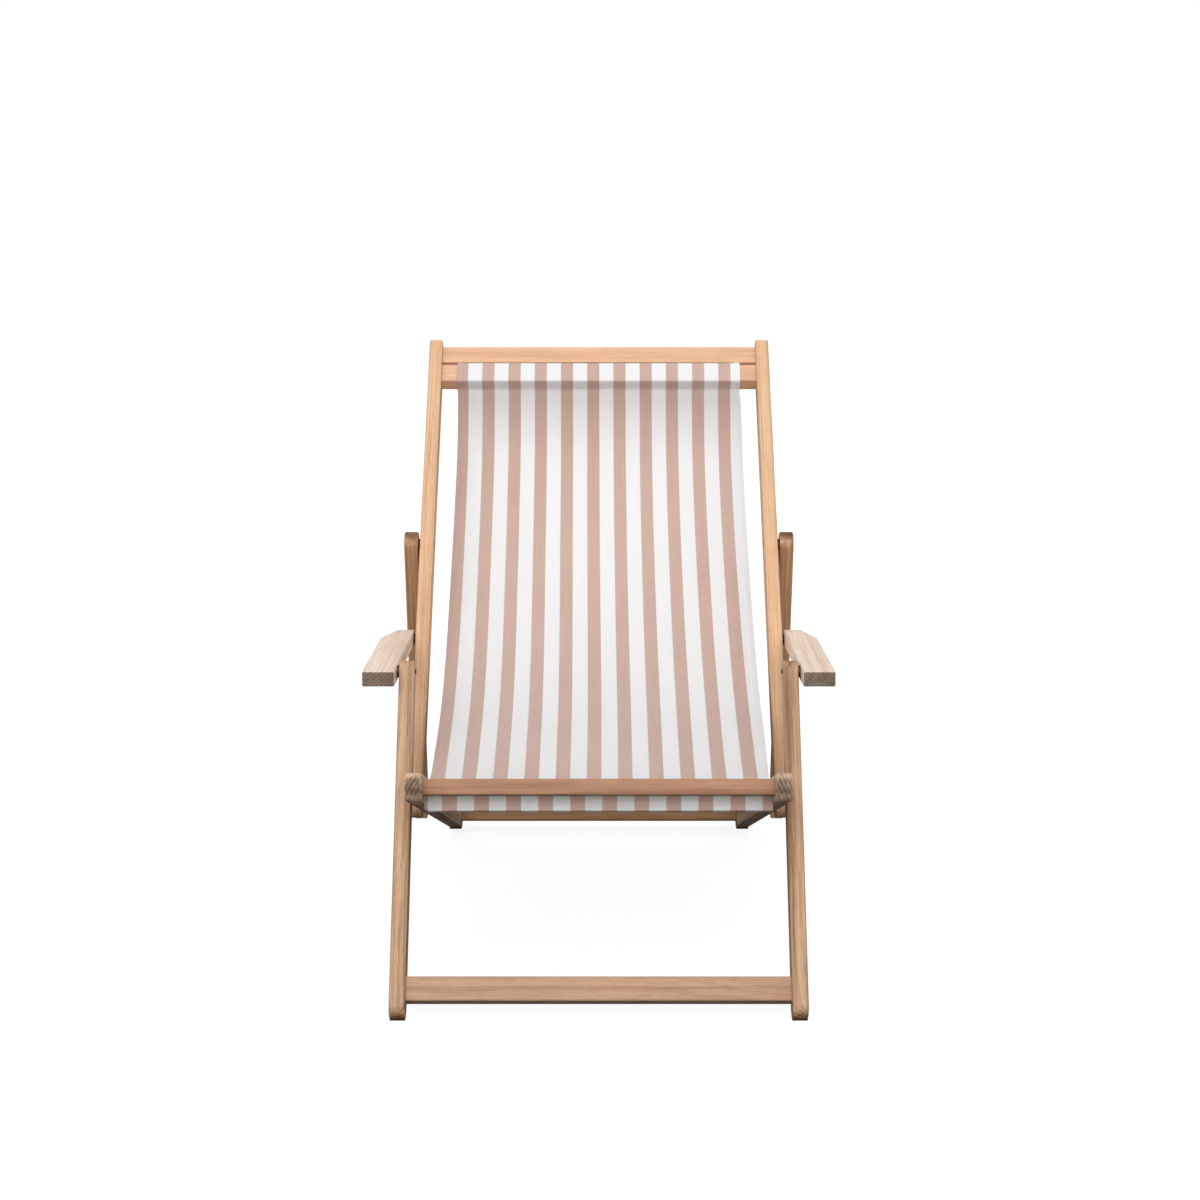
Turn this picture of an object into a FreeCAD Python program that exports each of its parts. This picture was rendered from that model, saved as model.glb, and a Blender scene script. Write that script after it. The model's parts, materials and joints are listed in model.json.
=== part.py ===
# Folding deck chair with armrests, built as its separate boards, fabric pieces and pivot hardware.
# Axes: +Z up, -Y towards the sitter's feet, X across. Lengths in mm, angles in degrees.
# Origin: on the floor, in the mid-plane, halfway between the front and the rear of the feet.
import FreeCAD, Part
import os
from math import cos, sin, sqrt, radians, hypot, atan2, degrees
from FreeCAD import Vector, Rotation, Placement
from Sketcher import Constraint

doc = FreeCAD.newDocument("deck_chair")

# ---- driving dimensions -------------------------------------------------------------------
DIMS = {
    # board stock
    "board": 20, "rail_wide": 35, "bar_wide": 31, "ease": 2.5,
    # middle of each layer of boards, measured out from the mid-plane
    "seat_side": 226, "back_side": 248, "prop_side": 271,
    # hinge of the back on the seat: distance behind the toes' datum, height over the floor
    "hinge_y": 376.5, "hinge_z": 188.6,
    # slopes of the members, from the horizontal
    "seat_slope": 16.8, "back_slope": 45, "leg_slope": 57.6, "arm_slope": 2.2,
    # distances along the members between their pivots
    "leg_to_hinge": 210, "leg_to_arm": 164, "hinge_to_arm": 266, "hinge_to_prop": 429.5,
    "arm_hole_set": 4,
    # reach of each member past the back hinge (seat, back) or past its last pivot (leg, prop)
    "seat_front": 370, "seat_rear": 614, "back_top": 803.5, "back_tail": 25,
    "leg_top": 15, "leg_low": 292, "prop_tail": 20, "prop_top": 18,
    # ratchet notches in the seat rails, and the round bar that rests in one pair of them
    "notch_rest": 452, "notch_pitch": 33, "notch_radius": 10.5, "notch_count": 5,
    "bar_radius": 10, "bar_height": 18.1,
    # armrests
    "arm_long": 368, "arm_wide": 42, "arm_front": 49, "arm_tail_wide": 25.5, "arm_corner": 77,
    # cross members
    "top_rail_down": 22.1, "leg_bar_up": 39, "front_rail_back": 50.5, "front_rail_up": 1.5,
    "rear_rail_in": 32, "rear_rail_up": 3,
    "top_bar_down": 57.7, "top_bar_wide": 32, "top_bar_thick": 22.5, "top_bar_low": 1.25,
    "front_bar_back": 82, "front_bar_low": 10,
    # fabric
    "fabric": 1.2, "sling_wide": 430, "loop_gap": 0.6, "loop_round": 1.5, "sheet_gap": 3.4,
    # hardware: heads and nuts are let into the boards
    "bolt_radius": 3, "hole_radius": 3.05, "head_radius": 6.5, "head_thick": 2.8,
    "recess_radius": 7, "recess_deep": 3.4, "head_inset": 0.4,
    "washer_radius": 8, "washer_thick": 1.8, "spacer_thick": 2.8, "side_gap": 0.1,
    "arm_pin_in": 18, "arm_pin_out": 1.6, "arm_pin_short": 0.3,
    # glides under the feet
    "glide": 2.5, "glide_long": 25, "glide_in": 0.5,
}
d = type("Dims", (), DIMS)


# ---- side-view geometry worked out from them ----------------------------------------------
def along(start, slope, run, lift=0.0):
    """Point reached from start by going run along a slope, and lift to its upper side."""
    a = radians(slope)
    return (start[0] + run * cos(a) - lift * sin(a), start[1] + run * sin(a) + lift * cos(a))


def at_height(start, slope, height, lift=0.0):
    """Point where the line at that lift above a sloping middle line passes a height."""
    return along(start, slope, (height - along(start, slope, 0, lift)[1]) / sin(radians(slope)), lift)


seat_dir, back_dir, leg_dir, arm_dir = -d.seat_slope, d.back_slope, d.leg_slope, -d.arm_slope
hinge = (d.hinge_y, d.hinge_z)
leg_pivot = along(hinge, seat_dir, -d.leg_to_hinge)
arm_front = along(leg_pivot, leg_dir, d.leg_to_arm, d.arm_hole_set)
arm_rear = along(hinge, back_dir, d.hinge_to_arm, -d.arm_hole_set)
prop_pivot = along(hinge, back_dir, d.hinge_to_prop)
prop_bar = along(hinge, seat_dir, d.notch_rest, d.bar_height)
prop_run = hypot(prop_bar[0] - prop_pivot[0], prop_bar[1] - prop_pivot[1])
prop_dir = degrees(atan2(prop_bar[1] - prop_pivot[1], prop_bar[0] - prop_pivot[0]))
foot = at_height(leg_pivot, leg_dir, 0)
leg_end = along(leg_pivot, leg_dir, d.rail_wide / 2 - d.leg_low)
seat_end = along(hinge, seat_dir, d.seat_rear - d.rail_wide / 2)
seat_low = at_height(hinge, seat_dir, d.glide, -d.rail_wide / 2)


def round_end_at(middle, height):
    """How far the half-round end about middle reaches along the floor at a height."""
    rise = height - middle[1]
    return sqrt((d.rail_wide / 2) ** 2 - rise ** 2)


front_most = leg_end[0] - d.rail_wide / 2
rear_most = seat_end[0] + round_end_at(seat_end, max(seat_end[1], d.glide))
shift = (front_most + rear_most) / 2

DIMS["prop_run"] = prop_run
sheet = doc.addObject("Spreadsheet::Sheet", "dims")
for row, (name, value) in enumerate(DIMS.items(), start=1):
    sheet.set("A%d" % row, name)
    sheet.set("B%d" % row, str(value))
    sheet.setAlias("B%d" % row, name)
doc.recompute()

nodes = []


def point(p, x=0.0):
    return Vector(x, p[0] - shift, p[1])


def finish(obj, label):
    """Makes the object one of the chair's pieces."""
    obj.Label = label
    nodes.append(obj)


# ---- building blocks ----------------------------------------------------------------------
def plane(body, role):
    return next(f for f in body.Origin.OriginFeatures if f.Role == role)


def new_body(name, p, slope, x=0.0):
    body = doc.addObject("PartDesign::Body", name)
    body.Placement = Placement(point(p, x), Rotation(Vector(1, 0, 0), slope))
    return body


def new_sketch(body, name, role="YZ_Plane", turn=0.0, lift=0.0):
    """Sketch on a body plane; on the side plane x runs along the board and y to its upper side."""
    sk = body.newObject("Sketcher::SketchObject", name)
    sk.AttachmentSupport = [(plane(body, role), "")]
    sk.MapMode = "FlatFace"
    sk.AttachmentOffset = Placement(Vector(0, 0, lift), Rotation(Vector(0, 0, 1), turn))
    return sk


def name_constraint(sk, constraint, name, expression):
    index = sk.addConstraint(constraint)
    sk.renameConstraint(index, name)
    sk.setExpression("Constraints." + name, expression)


def lines(sk, points):
    """Joined lines from point to point; returns the number of the first one."""
    first = sk.GeometryCount
    for i, (a, b) in enumerate(zip(points, points[1:])):
        sk.addGeometry(Part.LineSegment(Vector(a[0], a[1], 0), Vector(b[0], b[1], 0)), False)
        if i:
            sk.addConstraint(Constraint("Coincident", first + i - 1, 2, first + i, 1))
    return first


def polygon(sk, points):
    first = lines(sk, points + points[:1])
    sk.addConstraint(Constraint("Coincident", first + len(points) - 1, 2, first, 1))


def circle(x, y, radius):
    return Part.Circle(Vector(x, y, 0), Vector(0, 0, 1), radius)


def reach(names):
    """Sum of the named dimensions, as a number and as a spreadsheet expression."""
    return sum(DIMS[name] for name in names), " + ".join("dims." + name for name in names)


def board_outline(sk, low, high, round_low, round_high):
    """Rail outline; low and high name the dimensions that add up to its reach each way."""
    (low_reach, low_expr), (high_reach, high_expr) = reach(low), reach(high)
    r = d.rail_wide / 2
    a, b = -low_reach + (r if round_low else 0), high_reach - (r if round_high else 0)
    sk.addGeometry(Part.LineSegment(Vector(a, r, 0), Vector(b, r, 0)), False)
    sk.addGeometry(Part.LineSegment(Vector(b, -r, 0), Vector(a, -r, 0)), False)
    if round_high:
        sk.addGeometry(Part.ArcOfCircle(circle(b, 0, r), -radians(90), radians(90)), False)
        sk.addConstraint(Constraint("Tangent", 0, 2, 2, 2))
        sk.addConstraint(Constraint("Tangent", 1, 1, 2, 1))
        name_constraint(sk, Constraint("DistanceX", -1, 1, 2, 3, b), "high_end",
                        high_expr + " - dims.rail_wide / 2")
    else:
        sk.addGeometry(Part.LineSegment(Vector(b, r, 0), Vector(b, -r, 0)), False)
        sk.addConstraint(Constraint("Coincident", 0, 2, 2, 1))
        sk.addConstraint(Constraint("Coincident", 1, 1, 2, 2))
        sk.addConstraint(Constraint("Vertical", 2))
        name_constraint(sk, Constraint("DistanceX", -1, 1, 0, 2, b), "high_end", high_expr)
    if round_low:
        sk.addGeometry(Part.ArcOfCircle(circle(a, 0, r), radians(90), radians(270)), False)
        sk.addConstraint(Constraint("Tangent", 0, 1, 3, 1))
        sk.addConstraint(Constraint("Tangent", 1, 2, 3, 2))
        name_constraint(sk, Constraint("DistanceX", 3, 3, -1, 1, -a), "low_end",
                        low_expr + " - dims.rail_wide / 2")
    else:
        sk.addGeometry(Part.LineSegment(Vector(a, -r, 0), Vector(a, r, 0)), False)
        sk.addConstraint(Constraint("Coincident", 1, 2, 3, 1))
        sk.addConstraint(Constraint("Coincident", 0, 1, 3, 2))
        name_constraint(sk, Constraint("DistanceX", 0, 1, -1, 1, -a), "low_end", low_expr)
    sk.addConstraint(Constraint("Horizontal", 0))
    sk.addConstraint(Constraint("Symmetric", 0, 1, 1, 2, -1))
    name_constraint(sk, Constraint("DistanceY", 1, 1, 0, 2, 2 * r), "wide", "dims.rail_wide")


def pad(body, sk, expression):
    f = body.newObject("PartDesign::Pad", "plank")
    f.Profile = sk
    f.SideType = "Symmetric"
    f.setExpression("Length", expression)
    sk.Visibility = False
    doc.recompute()
    return f


def cut_through(body, sk, name):
    """Cuts right through the board, both ways from its side plane."""
    f = body.newObject("PartDesign::Pocket", name)
    f.Profile = sk
    f.SideType = "Symmetric"
    f.setExpression("Length", "2 * dims.board")
    doc.recompute()
    return f


def ease(body, base, wanted):
    """Rounds the edges of base whose bounding boxes are wanted."""
    f = body.newObject("PartDesign::Fillet", "eased")
    f.Base = (base, ["Edge%d" % i for i, e in enumerate(base.Shape.Edges, 1)
                     if wanted(e.BoundBox)])
    f.setExpression("Radius", "dims.ease")
    doc.recompute()


def in_broad_face(box):
    return box.XLength < 1e-4 and abs(abs(box.XMin) - d.board / 2) < 1e-4


def runs_across(box):
    return box.XLength > 1


def holes(body, spots):
    """Round through holes for the pivot bolts at (run, lift) on the board."""
    sk = new_sketch(body, "holes")
    for i, (x, y) in enumerate(spots):
        sk.addGeometry(circle(x, y, d.hole_radius), False)
        name_constraint(sk, Constraint("Radius", i, d.hole_radius), "bore%d" % i,
                        "dims.hole_radius")
    cut_through(body, sk, "bolt_holes")


def recesses(body, spots, outer):
    """Round recesses for bolt heads or nuts at (run, lift), in the outer or the inner face."""
    side = "outer" if outer else "inner"
    sk = new_sketch(body, side + "_spots", lift=d.board / 2 * (-1 if outer else 1))
    for i, (x, y) in enumerate(spots):
        sk.addGeometry(circle(x, y, d.recess_radius), False)
        name_constraint(sk, Constraint("Radius", i, d.recess_radius), "round%d" % i,
                        "dims.recess_radius")
    f = body.newObject("PartDesign::Pocket", side + "_recesses")
    f.Profile = sk
    f.Reversed = outer
    f.setExpression("Length", "dims.recess_deep")
    doc.recompute()


def cut_at_floor(body, p, slope):
    """Cuts the board level where its glide meets it; p is the body's origin."""
    sk = new_sketch(body, "floor", turn=-slope)
    wide, deep, top = 2 * d.seat_rear, d.seat_rear, d.glide - p[1]
    polygon(sk, [(-wide, top), (wide, top), (wide, top - deep), (-wide, top - deep)])
    return cut_through(body, sk, "level_cut")


def rail(label, p, slope, side, low, high, round_low=True, round_high=True, level=False):
    """Left-hand board of a pair, reaching both ways from p along a slope."""
    body = new_body(label + "_body", p, slope, -side)
    sk = new_sketch(body, "outline")
    board_outline(sk, low, high, round_low, round_high)
    plank = pad(body, sk, "dims.board")
    if level:
        plank = cut_at_floor(body, p, slope)
    ease(body, plank, in_broad_face)
    return body


def cross_board(label, p, slope, wide, thick, length):
    """Board across the chair, wide along the slope and thick to its upper side."""
    body = new_body(label + "_body", p, slope)
    sk = new_sketch(body, "section")
    w, t = DIMS[wide] / 2, DIMS[thick] / 2
    polygon(sk, [(-w, -t), (w, -t), (w, t), (-w, t)])
    for i, kind in enumerate(("Horizontal", "Vertical", "Horizontal", "Vertical")):
        sk.addConstraint(Constraint(kind, i))
    sk.addConstraint(Constraint("Symmetric", 0, 1, 1, 2, -1, 1))
    name_constraint(sk, Constraint("DistanceX", 0, 1, 0, 2, 2 * w), "wide", "dims." + wide)
    name_constraint(sk, Constraint("DistanceY", 1, 1, 1, 2, 2 * t), "thick", "dims." + thick)
    ease(body, pad(body, sk, length), runs_across)
    finish(body, label)


def mirror(obj, name):
    m = doc.addObject("Part::Mirroring", name + "_mirror")
    m.Source = obj
    m.Normal = Vector(1, 0, 0)
    doc.recompute()
    return m


def left_and_right(body, label):
    """The board as the left piece, and its mirror image as the right one."""
    finish(body, "left_" + label)
    finish(mirror(body, label), "right_" + label)


def both_sides(label, *pieces):
    """One node holding the left and right copies of small pieces."""
    pair = doc.addObject("Part::Compound", label + "_set")
    pair.Links = list(pieces) + [mirror(piece, piece.Name) for piece in pieces]
    doc.recompute()
    finish(pair, label)


def disc(name, p, x, radius, thick):
    """Cylinder from x towards the mid-plane on the chair's left, as thick as the expression."""
    c = doc.addObject("Part::Cylinder", name)
    c.setExpression("Radius", "dims." + radius)
    c.setExpression("Height", thick)
    c.Placement = Placement(point(p, -x), Rotation(Vector(0, 1, 0), 90))
    return c


def ring(name, p, x, radius, thick):
    cut = doc.addObject("Part::Cut", name)
    cut.Base = disc(name + "_disc", p, x, radius, thick)
    cut.Tool = disc(name + "_bore", p, x, "hole_radius", thick)
    return cut


def bolt(name, p, outer, inner):
    """Flat-headed bolt from its head's outer face at x = outer to its tip at x = inner."""
    whole = doc.addObject("Part::Fuse", name)
    whole.Base = disc(name + "_shank", p, outer, "bolt_radius", "%g" % (outer - inner))
    whole.Tool = disc(name + "_head", p, outer, "head_radius", "dims.head_thick")
    return whole


# ---- seat frame ---------------------------------------------------------------------------
def cut_notches(body):
    sk = new_sketch(body, "notch")
    r, top = d.notch_radius, d.rail_wide
    x = d.notch_rest - 2 * d.notch_pitch
    y = d.bar_height - d.bar_radius + r - d.side_gap
    sk.addGeometry(Part.ArcOfCircle(circle(x, y, r), radians(180), radians(360)), False)
    first = lines(sk, [(x - r, y), (x - r, top), (x + r, top), (x + r, y)])
    sk.addConstraint(Constraint("Coincident", 0, 1, first, 1))
    sk.addConstraint(Constraint("Coincident", 0, 2, first + 2, 2))
    row = body.newObject("PartDesign::LinearPattern", "ratchet")
    row.Originals = [cut_through(body, sk, "notch_cut")]
    row.Direction = (sk, ["H_Axis"])
    row.setExpression("Length", "dims.notch_pitch * (dims.notch_count - 1)")
    row.setExpression("Occurrences", "dims.notch_count")
    body.Tip = row
    doc.recompute()


seat_pivots = [(0, 0), (-d.leg_to_hinge, 0)]
seat_rail = rail("seat_rail", hinge, seat_dir, d.seat_side, ["seat_front"], ["seat_rear"],
                 level=True)
cut_notches(seat_rail)
holes(seat_rail, seat_pivots)
recesses(seat_rail, seat_pivots, outer=False)
left_and_right(seat_rail, "seat_rail")

in_seat = "2 * dims.seat_side - dims.board"
front_bar = along(hinge, seat_dir, d.front_bar_back - d.seat_front, -d.front_bar_low)
cross_board("front_seat_rail",
            along(hinge, seat_dir, d.front_rail_back - d.seat_front, d.front_rail_up),
            seat_dir, "bar_wide", "board", in_seat)
cross_board("front_sling_bar", front_bar, seat_dir, "board", "bar_wide", in_seat)
cross_board("rear_seat_rail",
            along(hinge, seat_dir, d.seat_rear - d.rear_rail_in, d.rear_rail_up),
            seat_dir, "bar_wide", "board", in_seat)

# ---- back frame ---------------------------------------------------------------------------
arm_spot, prop_spot = (d.hinge_to_arm, -d.arm_hole_set), (d.hinge_to_prop, 0)
back_rail = rail("back_rail", hinge, back_dir, d.back_side, ["back_tail"], ["back_top"],
                 round_high=False)
holes(back_rail, [(0, 0), arm_spot, prop_spot])
recesses(back_rail, [(0, 0)], outer=True)
recesses(back_rail, [prop_spot], outer=False)
left_and_right(back_rail, "back_rail")

in_back = "2 * dims.back_side - dims.board"
top_bar = along(hinge, back_dir, d.back_top - d.top_bar_down, -d.top_bar_low)
cross_board("top_back_rail", along(hinge, back_dir, d.back_top - d.top_rail_down),
            back_dir, "bar_wide", "board", in_back)
cross_board("top_sling_bar", top_bar, back_dir, "top_bar_wide", "top_bar_thick", in_back)

# ---- front legs ---------------------------------------------------------------------------
front_leg = rail("front_leg", leg_pivot, leg_dir, d.back_side, ["leg_low"],
                 ["leg_to_arm", "leg_top"], level=True)
holes(front_leg, [(0, 0), (d.leg_to_arm, d.arm_hole_set)])
recesses(front_leg, [(0, 0)], outer=True)
left_and_right(front_leg, "front_leg")
cross_board("leg_crossbar", along(foot, leg_dir, d.leg_bar_up), leg_dir,
            "bar_wide", "board", in_back)

# ---- prop ---------------------------------------------------------------------------------
prop = rail("prop", prop_pivot, prop_dir, d.prop_side, ["prop_top"], ["prop_run", "prop_tail"],
            round_high=False)
holes(prop, [(0, 0)])
recesses(prop, [(0, 0)], outer=True)
left_and_right(prop, "prop")
finish(disc("dowel", prop_bar, d.prop_side - d.board / 2, "bar_radius",
            "2 * dims.prop_side - dims.board"), "prop_crossbar")


# ---- armrests -----------------------------------------------------------------------------
def armrest():
    """Flat board with its rear outer corner cut off, its inner edge just outside the leg."""
    middle = ((arm_front[0] + arm_rear[0]) / 2, (arm_front[1] + arm_rear[1]) / 2)
    to_front = (arm_front[0] - middle[0], arm_front[1] - middle[1])
    body = new_body("armrest_body", middle, arm_dir, d.board / 2 - d.prop_side)
    sk = new_sketch(body, "outline", role="XY_Plane")
    start = -hypot(*to_front) - d.arm_front
    end = start + d.arm_long
    polygon(sk, [(0, start), (0, end), (-d.arm_tail_wide, end),
                 (-d.arm_wide, end - d.arm_corner), (-d.arm_wide, start)])
    ease(body, pad(body, sk, "dims.board"), lambda box: True)
    bore = new_sketch(body, "blind_hole")
    turn = atan2(to_front[1], to_front[0]) - radians(arm_dir)
    bore.addGeometry(circle(hypot(*to_front) * cos(turn), hypot(*to_front) * sin(turn),
                            d.hole_radius), False)
    hole = body.newObject("PartDesign::Pocket", "pin_hole")
    hole.Profile = bore
    hole.setExpression("Length", "dims.board")
    doc.recompute()
    return body


left_and_right(armrest(), "armrest")

# ---- pivot hardware -----------------------------------------------------------------------
seat_in, seat_out = d.seat_side - d.board / 2, d.seat_side + d.board / 2
rail_in, rail_out = d.back_side - d.board / 2, d.back_side + d.board / 2
side_in, side_out = d.prop_side - d.board / 2, d.prop_side + d.board / 2
nut_out = d.head_inset + d.head_thick
spacer_out = rail_out + d.side_gap + d.spacer_thick

both_sides("seat_pivot_bolts",
           *[bolt(name + "_bolt", p, rail_out - d.head_inset, seat_in + d.head_inset)
             for name, p in (("leg", leg_pivot), ("back", hinge))])
both_sides("seat_pivot_nuts",
           *[ring(name + "_nut", p, seat_in + nut_out, "head_radius", "dims.head_thick")
             for name, p in (("leg", leg_pivot), ("back", hinge))])
both_sides("seat_pivot_washers",
           *[ring(name + "_washer", p, seat_out + d.side_gap + d.washer_thick, "washer_radius",
                  "dims.washer_thick") for name, p in (("leg", leg_pivot), ("back", hinge))])
both_sides("prop_pivot_bolts",
           bolt("prop_bolt", prop_pivot, side_out - d.head_inset, rail_in + d.head_inset))
both_sides("prop_pivot_nuts",
           ring("prop_nut", prop_pivot, rail_in + nut_out, "head_radius", "dims.head_thick"))
both_sides("back_rail_spacers",
           *[ring(name + "_spacer", p, spacer_out, "washer_radius", "dims.spacer_thick")
             for name, p in (("prop", prop_pivot), ("arm_rear", arm_rear))])
both_sides("leg_top_spacers",
           ring("arm_front_spacer", arm_front, spacer_out, "washer_radius", "dims.spacer_thick"))
both_sides("arm_front_pins",
           disc("front_pin", arm_front, side_in + d.arm_pin_in, "bolt_radius",
                "dims.arm_pin_in + dims.arm_pin_out + %g" % (side_in - rail_in)))
both_sides("arm_rear_pins",
           disc("rear_pin", arm_rear, side_in - d.arm_pin_short, "bolt_radius",
                "%g - dims.arm_pin_short - dims.head_inset" % (side_in - rail_in)))


# ---- floor glides -------------------------------------------------------------------------
def glides(label, x_mid, low, high):
    b = doc.addObject("Part::Box", label + "_pad")
    b.setExpression("Length", "dims.board - 2 * dims.glide_in")
    b.setExpression("Height", "dims.glide")
    b.Width = high - low
    b.Placement.Base = Vector(-x_mid - d.board / 2 + d.glide_in, low - shift, 0)
    both_sides(label, b)


leg_flat = round_end_at(leg_end, d.glide) - d.glide_in
glides("front_foot_glides", d.back_side, leg_end[0] - leg_flat, leg_end[0] + leg_flat)
glides("rear_foot_glides", d.seat_side, seat_low[0] + d.glide_in, seat_low[0] + d.glide_long)


# ---- fabric -------------------------------------------------------------------------------
def rounded_tube(name, p, slope, a, b, radius):
    """Solid bar of half sizes a and b across the chair, as long as the sling is wide."""
    box = doc.addObject("Part::Box", name)
    box.Width, box.Height = 2 * a, 2 * b
    box.setExpression("Length", "dims.sling_wide")
    turn = Rotation(Vector(1, 0, 0), slope)
    corner = turn.multVec(Vector(-d.sling_wide / 2, -a, -b))
    box.Placement = Placement(point(p) + corner, turn)
    doc.recompute()
    rounded = doc.addObject("Part::Fillet", name + "_round")
    rounded.Base = box
    rounded.Edges = [(i, radius, radius) for i, e in enumerate(box.Shape.Edges, 1)
                     if runs_across(e.BoundBox)]
    return rounded


def sleeve(label, p, slope, wide, thick):
    """Fabric sleeve round a bar that is wide along the slope, clear of it by the loop gap."""
    a, b = wide / 2 + d.loop_gap, thick / 2 + d.loop_gap
    cut = doc.addObject("Part::Cut", label + "_tube")
    cut.Base = rounded_tube(label + "_outside", p, slope, a + d.fabric, b + d.fabric,
                            d.loop_round + d.fabric)
    cut.Tool = rounded_tube(label + "_inside", p, slope, a, b, d.loop_round)
    doc.recompute()
    finish(cut, label)


sleeve("sling_top_sleeve", top_bar, back_dir, d.top_bar_wide, d.top_bar_thick)
sleeve("sling_front_sleeve", front_bar, seat_dir, d.board, d.bar_wide)

# The sling hangs from just under the top sleeve, in a slack curve, to just behind the front one.
sag = [along(top_bar, back_dir, -d.top_bar_wide / 2 - d.sheet_gap, 3 - d.top_bar_thick / 2),
       (909, 660.4), (911, 604.4), (883, 550.4), (840, 500.4), (786, 453.4), (723, 409.4),
       (649, 367.4), (557, 330.4), (439, 300.4), (302, 280.4), (190, 268.4),
       along(front_bar, seat_dir, d.board / 2 + d.sheet_gap, d.bar_wide / 2 - 3)]
curve = Part.BSplineCurve()
curve.interpolate([point(p, -d.sling_wide / 2) for p in sag])
sling = doc.addObject("Part::Feature", "sling_sheet")
sling.Shape = (curve.toShape().extrude(Vector(d.sling_wide, 0, 0))
               .makeOffsetShape(d.fabric, 1e-4, fill=True))
finish(sling, "sling")

# ---- checks and files ---------------------------------------------------------------------
doc.recompute()
for obj in doc.Objects:
    if "Invalid" in obj.State or "Error" in obj.State:
        raise RuntimeError("%s did not build: %s" % (obj.Name, obj.State))
os.makedirs("parts", exist_ok=True)
for obj in nodes:
    if obj.Shape.isNull() or not obj.Shape.isValid():
        raise RuntimeError(obj.Label + " has no valid shape")
    obj.Shape.exportStep("parts/%s.step" % obj.Label)
    box = obj.Shape.BoundBox
    print("%-20s solids %d  volume %8.0f  x %6.1f %6.1f  y %6.1f %6.1f  z %6.1f %6.1f" % (
        obj.Label, len(obj.Shape.Solids), obj.Shape.Volume, box.XMin, box.XMax, box.YMin,
        box.YMax, box.ZMin, box.ZMax))
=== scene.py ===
"""Looks of the folding deck chair: wood, canvas sling, hardware, studio light and camera.

Row frame, metres: +Z up, the sitter looks along -Y, X runs across the chair.
"""

import json
import math

import bpy
import numpy as np
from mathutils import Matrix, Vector


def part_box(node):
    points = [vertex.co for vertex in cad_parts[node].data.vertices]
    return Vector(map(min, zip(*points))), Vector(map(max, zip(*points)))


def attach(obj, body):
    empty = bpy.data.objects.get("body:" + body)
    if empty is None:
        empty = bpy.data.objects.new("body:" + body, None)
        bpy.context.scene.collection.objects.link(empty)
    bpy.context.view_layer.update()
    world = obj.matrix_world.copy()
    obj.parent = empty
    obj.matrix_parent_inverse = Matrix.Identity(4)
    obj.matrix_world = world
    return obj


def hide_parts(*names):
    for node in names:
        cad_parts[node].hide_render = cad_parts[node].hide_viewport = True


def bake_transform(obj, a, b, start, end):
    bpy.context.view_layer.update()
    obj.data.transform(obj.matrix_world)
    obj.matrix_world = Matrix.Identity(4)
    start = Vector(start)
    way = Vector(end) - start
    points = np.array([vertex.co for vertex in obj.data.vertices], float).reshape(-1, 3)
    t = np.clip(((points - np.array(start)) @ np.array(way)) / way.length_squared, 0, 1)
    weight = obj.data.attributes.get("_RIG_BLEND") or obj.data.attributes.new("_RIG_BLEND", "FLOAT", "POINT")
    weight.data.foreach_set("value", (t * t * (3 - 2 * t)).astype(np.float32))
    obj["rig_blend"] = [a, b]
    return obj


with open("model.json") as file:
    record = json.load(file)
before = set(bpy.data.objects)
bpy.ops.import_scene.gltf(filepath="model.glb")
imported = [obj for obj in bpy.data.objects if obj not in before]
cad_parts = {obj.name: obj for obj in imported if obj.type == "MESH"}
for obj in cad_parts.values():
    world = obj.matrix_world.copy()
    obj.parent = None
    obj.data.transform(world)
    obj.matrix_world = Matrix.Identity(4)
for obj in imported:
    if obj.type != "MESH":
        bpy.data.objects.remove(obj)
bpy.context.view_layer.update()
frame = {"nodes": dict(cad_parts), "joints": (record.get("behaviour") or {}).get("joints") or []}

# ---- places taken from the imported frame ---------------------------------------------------
MM = 0.001
pivot = {joint["name"]: Vector(joint["pos_m"]) for joint in frame["joints"]}


def middle(node):
    low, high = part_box(node)
    return (low + high) / 2


def direction(start, end):
    """Unit vector in the side plane from start to end."""
    step = end - start
    step.x = 0
    return step.normalized()


across = Vector((1, 0, 0))
seat_line = direction(pivot["leg_fold"], pivot["back_fold"])
back_line = direction(pivot["back_fold"], pivot["prop_swing"])
leg_line = direction(middle("leg_crossbar"), pivot["leg_fold"])
prop_line = direction(pivot["prop_swing"], middle("prop_crossbar"))
arm_line = direction(pivot["left_arm_swing"], middle("arm_rear_pins"))


def add_object(name, data):
    """New object for mesh, light or camera data, linked to the scene."""
    made = bpy.data.objects.new(name, data)
    bpy.context.scene.collection.objects.link(made)
    return made


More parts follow.
